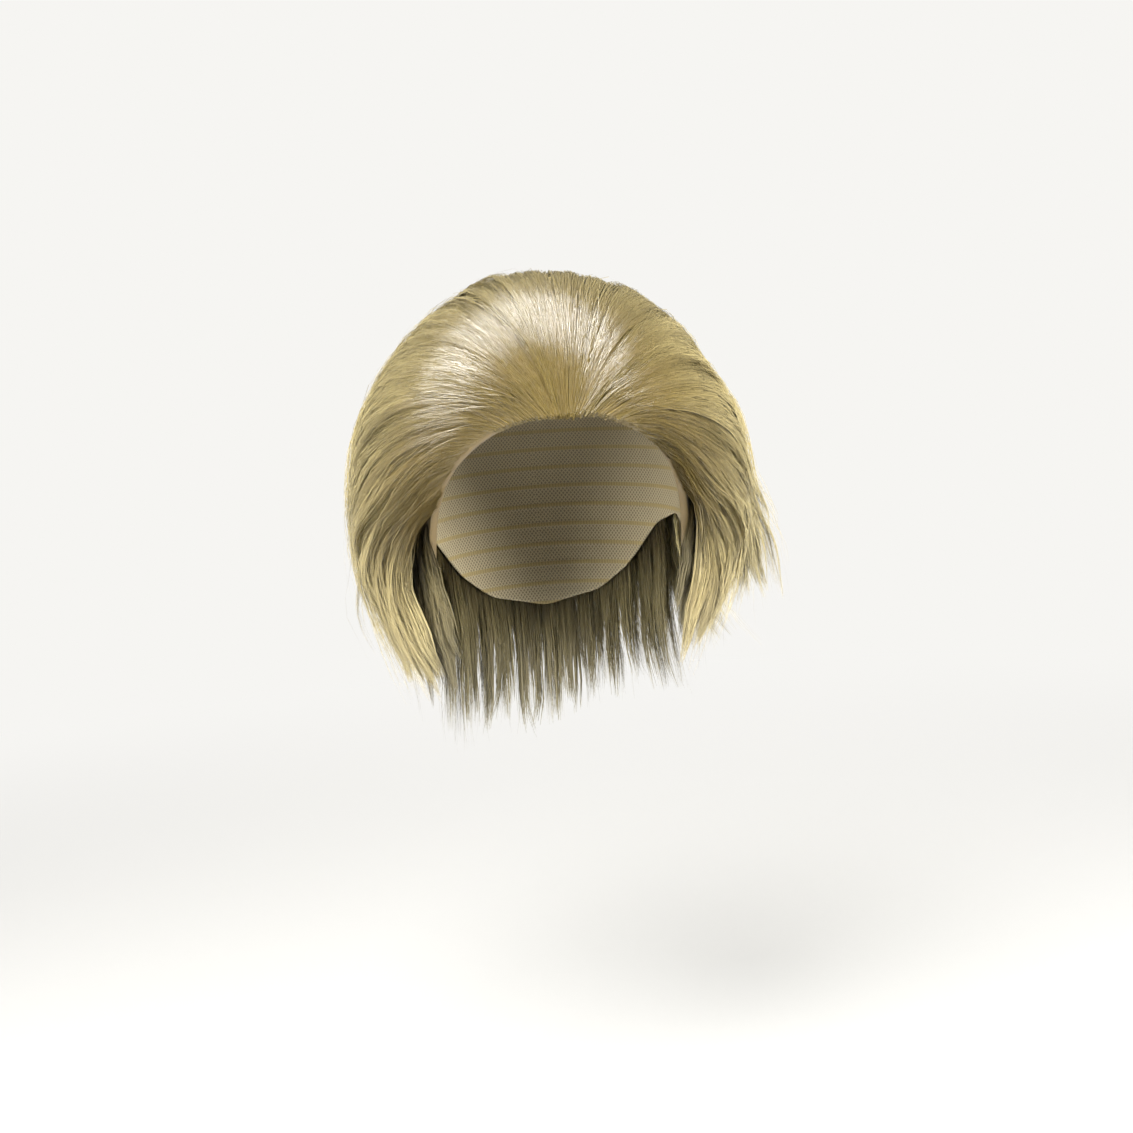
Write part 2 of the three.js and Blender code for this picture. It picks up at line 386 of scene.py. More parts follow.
class StageSettings(bpy.types.PropertyGroup):
    yaw: bpy.props.FloatProperty(
        name="Yaw", description="How far the camera stands round from the front",
        default=math.radians(-6), subtype="ANGLE", unit="ROTATION")
    elevation: bpy.props.FloatProperty(
        name="Elevation", description="How far the camera looks down",
        default=math.radians(8), subtype="ANGLE", unit="ROTATION")
    roll: bpy.props.FloatProperty(
        name="Roll", description="How far the camera leans", default=math.radians(-4),
        subtype="ANGLE", unit="ROTATION")
    distance: bpy.props.FloatProperty(
        name="Distance", description="From the camera to what it looks at", default=1.0,
        subtype="DISTANCE", unit="LENGTH")
    target: bpy.props.FloatVectorProperty(
        name="Target", description="What the camera looks at", size=3, default=(0.0057, 0, -0.0035),
        subtype="XYZ", unit="LENGTH")
    lens: bpy.props.FloatProperty(
        name="Lens", description="Focal length in millimetres on a 36 mm frame", default=58.85)
    floor_drop: bpy.props.FloatProperty(
        name="Floor drop", description="From the lowest hair down to the floor", default=0.26,
        subtype="DISTANCE", unit="LENGTH")
    backdrop: colour_setting("Backdrop", "Colour of the floor and what is behind it", "#f6f5f2")


def node(tree, kind, inputs=None, **settings):
    """Adds a node with its settings, and links or sets its inputs."""
    made = tree.nodes.new(kind)
    for name, value in settings.items():
        setattr(made, name, value)
    for name, value in (inputs or {}).items():
        if isinstance(value, bpy.types.NodeSocket):
            tree.links.new(value, made.inputs[name])
        else:
            made.inputs[name].default_value = value
    return made


def new_material(name):
    """A new material and its node tree, still empty."""
    material = bpy.data.materials.new(name)
    material.use_nodes = True
    material.node_tree.nodes.clear()
    return material, material.node_tree


def map_place(tree, map_name):
    """The place in a map, and its two parts."""
    place = node(tree, "ShaderNodeUVMap", uv_map=map_name).outputs[0]
    parts = node(tree, "ShaderNodeSeparateXYZ", {0: place}).outputs
    return place, parts[0], parts[1]


def maths(tree, operation, first, second=0.0):
    return node(tree, "ShaderNodeMath", {0: first, 1: second}, operation=operation).outputs[0]


def ranged(tree, value, low=0.0, high=1.0, to_low=0.0, to_high=1.0, curve="LINEAR"):
    """A value carried over from one range to another."""
    ends = {1: low, 2: high, 3: to_low, 4: to_high}
    return node(tree, "ShaderNodeMapRange", {0: value, **ends}, interpolation_type=curve).outputs[0]


def mixed(tree, part, first, second):
    """A colour that is part of the way from the first to the second."""
    return node(tree, "ShaderNodeMix", {0: part, 6: first, 7: second}, data_type="RGBA").outputs[2]


def scaled(tree, colour, brightness):
    inputs = {0: colour, "Scale": brightness}
    return node(tree, "ShaderNodeVectorMath", inputs, operation="SCALE").outputs[0]


def noise(tree, place, patch, detail):
    """A soft unevenness in patches of about one size."""
    inputs = {"Vector": place, "Scale": 1 / patch, "Detail": detail}
    return node(tree, "ShaderNodeTexNoise", inputs).outputs[0]


def principled(tree, inputs):
    """Ends a material's tree in one shader."""
    shader = node(tree, "ShaderNodeBsdfPrincipled", inputs)
    node(tree, "ShaderNodeOutputMaterial", {0: shader.outputs[0]})


def modacrylic_fibre(name, hair, tone):
    """Modacrylic wig fibre, extruded smooth and heat-set: each fibre carries its own shade, darker at the
    root as painted shade and paler at the tip, with a soft long gloss. The deep fibres, and a whole layer
    given a tone below 1, are darkened as painted shade."""
    material, tree = new_material(name)
    _, column, along = map_place(tree, MAP_NAME)
    look = maths(tree, "FLOOR", maths(tree, "MULTIPLY", column, LOOKS))
    deep_shaded = maths(tree, "GREATER_THAN", look, SHADES - 0.5)
    pale = ranged(tree, maths(tree, "MODULO", look, SHADES), high=SHADES - 1)
    blonde = mixed(tree, ranged(tree, along, *ROOT_FADE, curve="SMOOTHSTEP"), hair.root, hair.middle)
    blonde = mixed(tree, ranged(tree, along, *END_FADE, curve="SMOOTHSTEP"), blonde, hair.end)
    # Darker looks take more of the dark colour: at random, and as painted shade at the temples
    blonde = mixed(tree, ranged(tree, pale, to_low=DARKEST, to_high=0.0), blonde, hair.dark_and_painted_shade)
    # Deep fibres, and the under layer through its tone, are darkened here: painted shade
    blonde = scaled(tree, blonde, ranged(tree, deep_shaded, to_low=tone, to_high=DEEP_PAINTED_SHADE * tone))
    principled(tree, {
        "Base Color": blonde,
        "Roughness": ranged(tree, pale, to_low=ROUGHNESS[0], to_high=ROUGHNESS[1]),
        "IOR": 1.5,
        "Specular IOR Level": 1.0,
    })
    return material


def smooth(x):
    """A soft step from 0 to 1."""
    t = np.clip(x, 0, 1)
    return t * t * (3 - 2 * t)


def lerp(a, b, t):
    return a + (b - a) * t


def unit(vectors):
    return vectors / np.linalg.norm(vectors, axis=-1, keepdims=True)


def stray(lock, use):
    """A fixed unevenness between -1 and 1 for each lock and use."""
    x = np.sin(lock * 12.9898 + use * 78.233) * 43758.5453
    return 2 * (x - np.floor(x)) - 1


def dome_point(turn, down, lift):
    """Points over the dome, and which way is out there, from turn, down and lift."""
    turned = np.radians(turn)
    fall = np.radians(np.minimum(down, 90))
    a, b, c = CAP_BREADTH / 2, CAP_LENGTH / 2, CROWN_RISE
    narrow = smooth((down - 90) / NECK_DROP)
    x = a * (1 - NECK_NARROW_SIDE * narrow) * np.sin(turned) * np.sin(fall)
    y = -b * (1 - NECK_NARROW_BACK * narrow) * np.cos(turned) * np.sin(fall)
    z = WIDEST_Z + c * np.cos(fall) - np.maximum(down - 90, 0)
    out = unit(np.stack(
        [np.sin(turned) * np.sin(fall) / a, -np.cos(turned) * np.sin(fall) / b, np.cos(fall) / c], -1))
    return (np.stack([x, y, z], -1) + out * np.asarray(lift)[..., None]) * MM, out


def laid_out(turn, down):
    """The dome laid out flat round its crown."""
    turned = np.radians(turn)
    return np.stack([down * np.sin(turned), -down * np.cos(turned)], -1)


def dome_at(place, lift):
    """The same as dome_point, from places laid out flat."""
    turn = np.degrees(np.arctan2(place[..., 0], -place[..., 1]))
    return dome_point(turn, np.linalg.norm(place, axis=-1), lift)


def edge_down(turn):
    """How far down the cap's edge is, with its corners rounded off."""
    near = np.abs((np.asarray(turn)[..., None] + EDGE_ROUNDING + 180) % 360 - 180)
    return np.interp(near, EDGE[:, 0], EDGE[:, 1]).mean(-1)


def way_at(ways, part):
    """All the columns of a section's ways, part of the way from its first row to its last."""
    place = np.clip(part, 0, 1) * (len(ways) - 1)
    rows = np.arange(len(ways))
    return {name: np.interp(place, rows, ways[:, i]) for i, name in enumerate(WAY_COLUMNS)}


def lift_at(way, along, foot):
    """How far the outside of the hair stands off the cap, part of the way along."""
    base = foot + ROOT_THICK
    rise = base + (way["crest"] - base) * (1 - np.clip(1 - along / CREST_AT, 0, 1) ** RISE_POWER)
    fall = np.clip((along - CREST_AT) / (1 - CREST_AT), 0, None) ** FALL_POWER
    return np.where(along < CREST_AT, rise, lerp(way["crest"], way["tip"], fall))


class Wisps:
    """The wisps of one section: where each starts, and how it differs from its neighbours."""

    def __init__(self, section, hair, rng):
        count = section["locks"] * hair.wisps
        widths = rng.uniform(*WISP_WIDTH, count)
        self.edges = np.concatenate([[0], np.cumsum(widths) / widths.sum()])
        self.middle = (self.edges[1:] + self.edges[:-1]) / 2
        tousle = section["tousle"]
        over = rng.random(count) < OVER_SHARE
        self.length = 1 - WISP_SHORTER * section["choppy"] * rng.random(count) ** WISP_SHORTER_POWER
        self.length = np.where(over, rng.uniform(*OVER_LENGTH, count), self.length)
        self.bow = tousle * rng.normal(0, WISP_BOW, count)
        self.wave = tousle * rng.normal(0, WISP_WAVE, count)
        self.wave_at = rng.random(count)
        self.height = tousle * rng.normal(0, WISP_HEIGHT, count)
        self.ripples = rng.uniform(*WISP_RIPPLES, count)
        self.height_at = rng.random(count)
        self.shade = rng.normal(0, WISP_SHADE, count)
        self.lean = tousle * rng.normal(0, WISP_LEAN, count) * np.where(over, OVER_LEAN, 1)
        self.spread = rng.uniform(*WISP_SPREAD, count)
        self.gather = hair.gather * (1 - section["feather"]) * rng.uniform(*WISP_GATHER, count)
        self.off = np.where(rng.random(count) < OFF_SHARE * tousle ** 2, rng.uniform(*OFF_HEIGHT, count), 0)
        self.gather = np.where(self.off > 0, POINTED, self.gather)
        self.off = np.where(over, rng.uniform(*OVER_HEIGHT, count), self.off)


def comb(name, kind, width, hair, rng, wisps):
    """One kind of fibre of a section, combed along its ways: the points that each fibre runs through, half
    its width to the side, and its look."""
    section = dict(zip(SECTION_COLUMNS, SECTIONS[name]))
    count, steps, locks = section[kind], section[kind + "_steps"], section["locks"]
    inner = kind == "broad"
    calm = INNER_CALM if inner else 1
    start = (np.arange(count) + rng.random(count)) / count
    wisp = np.clip(np.searchsorted(wisps.edges, start, side="right") - 1, 0, len(wisps.middle) - 1)
    lock = np.clip(np.floor(wisps.middle[wisp] * locks), 0, locks - 1)
    under = rng.random(count) ** (INNER_POWER if inner else section["surface"])
    if inner:
        under = INNER_DEPTH + (1 - INNER_DEPTH) * under
    loose = (rng.random(count) < hair.fly_away) & (not inner)
    length = wisps.length[wisp] * (1 - section["feather"] * rng.random(count) ** FEATHER_POWER)
    length = np.where(rng.random(count) < SHORT_SHARE, rng.uniform(*SHORT_LENGTH, count), length)
    length = np.where(loose, rng.uniform(*LOOSE_LENGTH, count), length)
    slant = np.where(rng.random(count) < SLANTED_SHARE, rng.normal(0, SLANT, count), 0)
    if kind == "hairline":
        under = HAIRLINE_UNDER * under
        length = rng.uniform(*HAIRLINE_LENGTH, count)
        slant = rng.normal(0, HAIRLINE_SLANT, count)

    def each(values):
        return np.asarray(values)[:, None]

    along = each(length) * np.linspace(0, 1, steps + 1) ** FIBRE_CROWDING
    free = np.clip((along - section["parting"]) / (1 - section["parting"]), 0, None) ** TIP_POWER
    ridge = each((lock + 0.5 + RIDGE_STRAY * stray(lock, FOR_RIDGE)) / locks)
    middle = each(wisps.middle[wisp])
    pull = (ridge - middle) * section["choppy"] / CHOPPY_PULL * free
    centre = middle + pull + calm * each(wisps.lean[wisp]) * along ** 2
    share = np.where(each(loose | inner), LOOSE_GATHER, 1)
    close = 1 - each(wisps.gather[wisp]) * smooth((along - GATHER_FROM) / (1 - GATHER_FROM)) * share
    close = close * lerp(1, each(wisps.spread[wisp]), smooth(along / SPREAD_OVER))
    part = centre + (each(start) - middle) * close
    ways = np.array(WAYS[name], float)
    way = way_at(ways, part)
    way["tip_down"] = way["tip_down"] + section["choppy"] * each(stray(lock, FOR_TIP))
    way["crest"] = way["crest"] + CREST_STRAY * each(stray(lock, FOR_CREST))
    way["tip"] = way["tip"] + FLARE_STRAY * section["choppy"] * each(stray(lock, FOR_FLARE))
    root = laid_out(way["root_turn"], way["root_down"])
    chord = laid_out(way["tip_turn"], way["tip_down"]) - root
    across = np.stack([-chord[..., 1], chord[..., 0]], -1)
    bow = way["bow"] + each(calm * wisps.bow[wisp] + rng.normal(0, FIBRE_BOW, count))
    place = root + chord * along[..., None] + across * (bow * 4 * along * (1 - along))[..., None]
    across = unit(across)
    onward = unit(chord)
    wave = calm * each(wisps.wave[wisp]) * np.sin(2 * np.pi * (along + each(wisps.wave_at[wisp])))
    wander = each(rng.normal(0, FIBRE_WANDER, count) * np.where(loose, LOOSE_WANDER, 1)) * np.sin(
        2 * np.pi * (each(rng.uniform(*FIBRE_WANDERS, count)) * along + each(rng.random(count))))
    sideways = (wave + wander) * smooth(along / STRAY_OVER) + each(slant) * along
    shift = each(rng.normal(0, FIBRE_SHIFT, count))
    place = place + across * sideways[..., None] + onward * shift[..., None]

    body = lerp(ROOT_THICK, section["thick"], smooth(along / CREST_AT))
    depth = lerp(body, TIP_THICK, np.clip(free, 0, 1))
    aside = np.clip((part - ridge) * 2 * locks, -1, 1)
    side = np.abs(aside)
    crease = each(CREASE_LEAST + CREASE_MORE * np.clip(stray(lock, FOR_CREASE), 0, 1))
    groove = crease * depth * side ** 2 * (1 - np.clip(free, 0, 1))
    height = each(wisps.height[wisp]) * np.sin(
        2 * np.pi * (each(wisps.ripples[wisp]) * along + each(wisps.height_at[wisp])))
    height = height + each(rng.normal(0, FIBRE_HEIGHT, count)) * np.sin(
        2 * np.pi * (each(rng.uniform(*FIBRE_RIPPLES, count)) * along + each(rng.random(count))))
    lift = lift_at(way, along, section["foot"]) - groove - each(under) * (depth - groove)
    lift = lift + height * smooth(along / STRAY_OVER)
    stand = np.where(loose, rng.uniform(*LOOSE_HEIGHT, count), 0)
    lift = lift + each(stand) * smooth(along / LOOSE_OVER) ** 2
    stand = np.where(inner, 0, wisps.off[wisp])
    lift = lift + each(stand) * smooth((along - OFF_FROM) / OFF_OVER) ** 2
    foot = each(section["foot"] * FOOT_LEAST + FOOT_STRAY * rng.random(count))
    if section["foot"] > GAP:
        before = each(rng.uniform(*ROOT_BEFORE, count)) * (1 - smooth(along / BEFORE_OVER))
        place = place - onward * before[..., None]
        low = ROOT_LOW * smooth((ROOT_LOW_LAST - np.abs(way["root_turn"])) / ROOT_LOW_FADE)
        foot = foot - low * each(rng.random(count))
    lift = lerp(foot, lift, smooth(along / FOOT_OVER))
    points, out = dome_at(place, lift)

    run = unit(np.gradient(points, axis=1))
    frontal = section["frontal"] * smooth((along - FRONTAL_FROM) / FRONTAL_OVER)
    forward = FORWARD * frontal[..., None]
    flat = unit(np.cross(run, out + forward))
    upright = np.cross(flat, run)
    ends = laid_out(ways[[0, -1], 2], ways[[0, -1], 3])
    spread = ends[1] - ends[0]
    hand = np.sign(chord[..., 1] * spread[0] - chord[..., 0] * spread[1])
    roll = LOCK_ROUND * hand * aside * smooth(along / STRAY_OVER)
    tilt = (each(rng.uniform(-FIBRE_TILT, FIBRE_TILT, count)) - roll)[..., None]
    across = flat * np.cos(tilt) + upright * np.sin(tilt)
    facing = upright * np.cos(tilt) - flat * np.sin(tilt)
    taper = 1 - (1 - TAPER_TO) * smooth((along / each(length) - TAPER_FROM) / (1 - TAPER_FROM))
    half = each(width / 2 * rng.uniform(*FIBRE_THICKNESS, count)) * taper
    # Fibres rooted at the temples get a darker look: painted shade
    temple_shade_mask = section["frontal"] * smooth((np.abs(way["root_turn"][:, 0]) - TEMPLE_TURN) / TEMPLE_FADE)
    tone = MEAN_SHADE + LOCK_SHADE * stray(lock, FOR_SHADE) + wisps.shade[wisp]
    tone = tone + rng.normal(0, FIBRE_SHADE, count) - TEMPLE_PAINTED_SHADE * temple_shade_mask
    # Fibres that lie deep take the deep looks, which the material darkens as painted shade
    look = np.clip(np.round(tone * (SHADES - 1)), 0, SHADES - 1) + SHADES * (under > DEEP_FROM)
    return points, across, half, facing, along, look


def fibre_mesh(name, kinds):
    """One joined mesh of flat ribbons that are shaded as if they were round, with each fibre's look and how
    far along it is in its colour map."""
    corners, normals, quads, places = [], [], [], []
    begun = 0
    for points, across, half, facing, along, look in kinds:
        count, stations, _ = points.shape
        side = across * half[..., None]
        round_off = across * math.sin(FIBRE_ROUND)
        facing = facing * math.cos(FIBRE_ROUND)
        corners.append(np.stack([points - side, points + side], 2).reshape(-1, 3))
        normals.append(np.stack([facing - round_off, facing + round_off], 2).reshape(-1, 3))
        first = (np.arange(count)[:, None] * stations + np.arange(stations - 1)) * 2 + begun
        quads.append(np.stack([first, first + 1, first + 3, first + 2], -1).reshape(-1, 4))
        begun += len(corners[-1])
        low = (look + MAP_EDGE) / LOOKS
        high = (look + 1 - MAP_EDGE) / LOOKS
        shade = np.broadcast_to(np.stack([low, high, high, low], -1)[:, None], (count, stations - 1, 4))
        step = np.clip(along, MAP_END, 1 - MAP_END)
        up = np.stack([step[:, :-1], step[:, :-1], step[:, 1:], step[:, 1:]], -1)
        places.append(np.stack([shade, up], -1).reshape(-1, 2))
    piece = joined_mesh(name, np.concatenate(corners), quads, {MAP_NAME: np.concatenate(places)})
    piece.data.normals_split_custom_set_from_vertices(np.concatenate(normals))
    return piece


def joined_mesh(name, corners, polygons, maps=None):
    """A smooth mesh object of arrays of polygons, each of one number of corners, and its maps."""
    loops = np.concatenate([array.ravel() for array in polygons])
    sizes = np.concatenate([np.full(len(array), array.shape[1]) for array in polygons])
    mesh = bpy.data.meshes.new(name)
    mesh.vertices.add(len(corners))
    mesh.vertices.foreach_set("co", np.asarray(corners, np.float32).ravel())
    mesh.loops.add(len(loops))
    mesh.loops.foreach_set("vertex_index", loops.astype(np.int32))
    mesh.polygons.add(len(sizes))
    mesh.polygons.foreach_set("loop_start", (np.cumsum(sizes) - sizes).astype(np.int32))
    mesh.update(calc_edges=True)
    for map_name, places in (maps or {}).items():
        layer = mesh.uv_layers.new(name=map_name)
        layer.uv.foreach_set("vector", np.asarray(places, np.float32).ravel())
    mesh.shade_smooth()
    if mesh.validate():
        raise RuntimeError(f"{name} has faces that are not valid")
    piece = bpy.data.objects.new(name, mesh)
    bpy.context.scene.collection.objects.link(piece)
    return piece


def settle(piece, replaced, material):
    """Gives a piece its material and puts it in the place of its plain solid."""
    piece.data.materials.append(material)
    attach(piece, BODY)
    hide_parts(replaced)


def grow(name, hair, material):
    """Combs one section and puts its fibres in the place of its plain solid."""
    rng = np.random.default_rng(SEEDS[name])
    section = dict(zip(SECTION_COLUMNS, SECTIONS[name]))
    wisps = Wisps(section, hair, rng)
    widths = {"fine": hair.fibre_width, "broad": hair.broad_width, "hairline": hair.fibre_width}
    kinds = [comb(name, kind, width, hair, rng, wisps) for kind, width in widths.items() if section[kind]]
    piece = fibre_mesh("fibres_" + name, kinds)
    settle(piece, name, material)


def mm_down(down):
    """Millimetres down from the crown along the dome."""
    return np.minimum(down, 90) * CROWN_RISE * np.pi / 180 + np.maximum(down - 90, 0)


def closed_grid(rows, columns):
    """The quads of a grid of points whose columns close on themselves."""
    row = np.arange(rows - 1)[:, None] * columns
    here = np.arange(columns)[None]
    there = (here + 1) % columns
    corners = [row + here, row + there, row + columns + there, row + columns + here]
    return np.stack(corners, -1).reshape(-1, 4)


def cap_mesh(cap):
    """A thin dome: its outside, its rim and its inside, where the rows of weft stand out."""
    columns, outer_rows, inner_rows = 160, 36, 130
    weft_half, rim_turn, weft_end, weft_fade = 0.9, 0.4, 0.985, 0.03
    part = np.arange(columns) / columns * 2 - 1
    turn = 180 * part + CAP_CROWDING * np.sin(2 * np.pi * part)
    edge = edge_down(turn)
    outside = np.linspace(CROWN_RING, 1, outer_rows)
    inside = np.linspace(1, CROWN_RING, inner_rows)
    reach = np.concatenate([outside, [1 + rim_turn / edge.mean()], inside])
    down = reach[:, None] * edge
    row = mm_down(down) / (cap.weft_rows / MM)
    ridge = np.exp(-((row - np.round(row)) * cap.weft_rows / MM / weft_half) ** 2)
    ridge *= smooth(row - FIRST_WEFT_ROW) * smooth((weft_end - reach[:, None]) / weft_fade)
    lift = np.zeros_like(down)
    lift[outer_rows] = -CAP_WALL / 2
    lift[outer_rows + 1:] = -CAP_WALL - cap.weft_rise / MM * ridge[outer_rows + 1:]
    corners, _ = dome_point(np.broadcast_to(turn, down.shape), down, lift)
    quads = closed_grid(len(reach), columns)
    around = np.radians(turn) * (CAP_BREADTH + CAP_LENGTH) / 4
    around = np.append(around, around[0] + np.pi * (CAP_BREADTH + CAP_LENGTH) / 2)
    around = np.broadcast_to(around, (len(reach), columns + 1))
    fall = np.concatenate([mm_down(down), mm_down(down[:, :1])], 1)
    places = np.stack([around, fall], -1)
    knit = np.stack([places[:-1, :-1], places[:-1, 1:], places[1:, 1:], places[1:, :-1]], 2)
    crowns = [np.arange(columns)[::-1], np.arange(columns) + (len(reach) - 1) * columns]
    crown_places = [places[0, :-1][::-1], places[-1, :-1]]
    return joined_mesh(
        "net_cap", corners.reshape(-1, 3), [quads, *(crown[None] for crown in crowns)],
        {"knit": np.concatenate([knit.reshape(-1, 2), *crown_places])})


def bound_edge():
    """The cap's front edge laid out flat, which way is off the cap there, and how far along it is."""
    inset, stations = 2, 260
    last = BINDING_REACH - inset
    turn = np.linspace(-last, last, stations)
    rim = laid_out(turn, edge_down(turn))
    run = unit(np.gradient(rim, axis=0))
    away = np.stack([run[:, 1], -run[:, 0]], -1)
    place, _ = dome_at(rim, np.zeros(len(rim)))
    along = np.concatenate([[0], np.cumsum(np.linalg.norm(np.diff(place, axis=0), axis=1))]) / MM
    return rim, away, along


def binding_mesh():
    """A ribbon folded over the cap's edge: its section is a hairpin round the edge."""
    rim, away, along = bound_edge()
    inside = -CAP_WALL - BINDING_SLACK
    flat_steps, fold_steps, fold_from = 5, 11, 0.4
    fold = np.radians(np.linspace(90, -90, fold_steps))

    def hairpin(stand):
        tall = stand - inside / 2
        flat = np.linspace(-BINDING_WIDTH, -fold_from, flat_steps)
        top = np.stack([flat, np.full(flat_steps, stand)], -1)
        turned = np.stack([stand * np.cos(fold), inside / 2 + tall * np.sin(fold)], -1)
        below = np.stack([flat[::-1], np.full(flat_steps, inside - stand)], -1)
        return np.concatenate([top, turned, below])

    section = np.concatenate([hairpin(GAP + BINDING_WALL), hairpin(GAP)[::-1]])
    place = rim[:, None] + away[:, None] * section[None, :, :1]
    corners, _ = dome_at(place, np.broadcast_to(section[:, 1], place.shape[:2]))
    quads = closed_grid(len(rim), len(section))
    ends = [np.arange(len(section))[::-1], np.arange(len(section)) + (len(rim) - 1) * len(section)]
    width = np.concatenate([[0], np.cumsum(np.linalg.norm(np.diff(section, axis=0), axis=1))])
    width = np.append(width, 0)
    places = np.stack(np.broadcast_arrays(along[:, None], width[None]), -1)
    weave = np.stack([places[:-1, :-1], places[:-1, 1:], places[1:, 1:], places[1:, :-1]], 2)
    end_places = [places[0, :-1][::-1], places[-1, :-1]]
    return joined_mesh(
        "bound_edge", corners.reshape(-1, 3), [quads, *(end[None] for end in ends)],
        {"weave": np.concatenate([weave.reshape(-1, 2), *end_places])})


def stitch_mesh():
    """Running stitches near both free edges of the binding: short threads that dip in at their ends."""
    rim, away, along = bound_edge()
    long, spacing, thread, from_edge = 2.1, 3.2, 0.2, 1.1
    bends, corner_turn, tip, sunk = 6, 60, 0.35, 0.5
    starts = np.arange(spacing, along[-1] - spacing, spacing)
    step = np.linspace(0, 1, bends)
    sides = np.radians(np.arange(0, 360, corner_turn))
    stand = GAP + BINDING_WALL
    corners = []
    for face, up in ((stand, 1), (-CAP_WALL - BINDING_SLACK - stand, -1)):
        at = starts[:, None] + long * step
        middle = np.stack([np.interp(at, along, rim[:, i]) for i in (0, 1)], -1)
        off = np.stack([np.interp(at, along, away[:, i]) for i in (0, 1)], -1)
        arch = np.sin(np.pi * step)
        thick = thread * lerp(tip, 1, arch)
        sideways = thick[:, None] * np.cos(sides) - BINDING_WIDTH + from_edge
        raised = face + up * (thick[:, None] * np.sin(sides) + thread * (arch[:, None] - sunk))
        place = middle[:, :, None] + off[:, :, None] * sideways[None, :, :, None]
        corners.append(dome_at(place, np.broadcast_to(raised, place.shape[:3]))[0])
    corners = np.concatenate(corners)
    count, rings, ring, _ = corners.shape
    one = closed_grid(rings, ring)
    first = np.arange(count)[:, None, None] * rings * ring
    ends = np.stack([np.arange(ring)[::-1], np.arange(ring) + (rings - 1) * ring])
    return joined_mesh(
        "binding_stitches", corners.reshape(-1, 3),
        [(first + one).reshape(-1, 4), (first + ends).reshape(-1, ring)])


def knitted_net(cap):
    """Polyamide stretch net, warp-knitted: a lattice of matt threads with gaps darkened as painted shade,
    and rows of weft sewn on. Its threads are drawn twice as far apart as real ones so that they show."""
    pitch, thread, stitch_length, patch = 2.6, 0.7, 1.0, 9
    tape_half, tape_edge, gap_painted_shade = 0.8, 1.3, 0.42
    rows = cap.weft_rows / MM
    material, tree = new_material("polyamide stretch net, warp-knitted")
    place, around, down = map_place(tree, "knit")
    leans = [
        maths(tree, "PINGPONG", maths(tree, operation, around, down), pitch / 2)
        for operation in ("ADD", "SUBTRACT")]
    threads = ranged(
        tree, maths(tree, "MINIMUM", *leans), thread / 4, thread, 1.0, 0.0, curve="SMOOTHSTEP")
    sewn = ranged(
        tree, maths(tree, "PINGPONG", down, rows / 2), tape_half, tape_edge, 1.0, 0.0, curve="SMOOTHSTEP")
    lower = ranged(tree, down, FIRST_WEFT_ROW * rows, (FIRST_WEFT_ROW + 0.5) * rows)
    sewn = maths(tree, "MULTIPLY", sewn, lower)
    stitch = maths(tree, "PINGPONG", around, stitch_length)
    uneven = noise(tree, place, patch, 3.0)
    # The gaps between the threads are darkened as painted shade
    knit = mixed(tree, threads, scaled(tree, cap.net[:3], gap_painted_shade), cap.net)
    tape = scaled(tree, cap.weft[:3], ranged(tree, stitch, to_low=0.7, to_high=1.1))
    knit = mixed(tree, sewn, knit, tape)
    knit = scaled(tree, knit, ranged(tree, uneven, to_low=0.9, to_high=1.05))
    raised = maths(tree, "MAXIMUM", threads, stitch)
    bump = node(tree, "ShaderNodeBump", {"Strength": 0.5, "Distance": 0.2 * MM, "Height": raised})
    principled(tree, {
        "Base Color": knit,
        "Roughness": 0.85,
        "IOR": 1.53,
        "Normal": bump.outputs[0],
    })
    return material


def satin_ribbon(cap):
    """Polyester satin ribbon, woven: fine ribs across its length and a soft sheen.
    Its ribs are drawn three times as coarse as real ones so that they show."""
    rib, patch = 0.5, 4
    material, tree = new_material("polyester satin ribbon, woven")
    place, along, _ = map_place(tree, "weave")
    ribs = ranged(tree, maths(tree, "PINGPONG", along, rib / 2), high=rib / 2, curve="SMOOTHSTEP")
    uneven = noise(tree, place, patch, 2.0)
    tone = ranged(tree, maths(tree, "ADD", ribs, uneven), 0.3, 1.6, 0.7, 1.1)
    bump = node(tree, "ShaderNodeBump", {"Strength": 0.4, "Distance": 0.1 * MM, "Height": ribs})
    principled(tree, {
        "Base Color": scaled(tree, cap.ribbon[:3], tone),
        "Roughness": ranged(tree, uneven, to_low=0.38, to_high=0.55),
        "IOR": 1.57,
        "Sheen Weight": 0.1,
        "Normal": bump.outputs[0],
    })
    return material


def sewing_thread(cap):
    """Polyester sewing thread, twisted from two plies: slanting light and dark bands along each stitch.
    Its twist is drawn twice as coarse as a real one so that it shows."""
    twist, wave_repeat = 0.6, 0.31
    material, tree = new_material("polyester sewing thread, twisted")
    place = node(tree, "ShaderNodeTexCoord")
    plies = node(
        tree, "ShaderNodeTexWave", {"Vector": place.outputs["Object"], "Scale": wave_repeat / (twist * MM)},
        bands_direction="DIAGONAL")
    tone = ranged(tree, plies.outputs[1], to_low=0.55, to_high=0.95)
    principled(tree, {
        "Base Color": scaled(tree, cap.ribbon[:3], tone),
        "Roughness": 0.6,
        "IOR": 1.57,
    })
    return material


class WIG_OT_cap(bpy.types.Operator):
    """Knits the net cap that the hair is sewn to"""
    bl_idname = "wig.cap"
    bl_label = "Net cap"

    def execute(self, context):
        cap = context.scene.wig_cap
        settle(cap_mesh(cap), "cap", knitted_net(cap))
        return {"FINISHED"}


class WIG_OT_binding(bpy.types.Operator):
    """Folds the ribbon over the cap's front edge and sews it down"""
    bl_idname = "wig.binding"
    bl_label = "Bound edge"

    def execute(self, context):
        cap = context.scene.wig_cap
        settle(binding_mesh(), "edge_binding", satin_ribbon(cap))
        stitches = stitch_mesh()
        stitches.data.materials.append(sewing_thread(cap))
        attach(stitches, BODY)
        return {"FINISHED"}


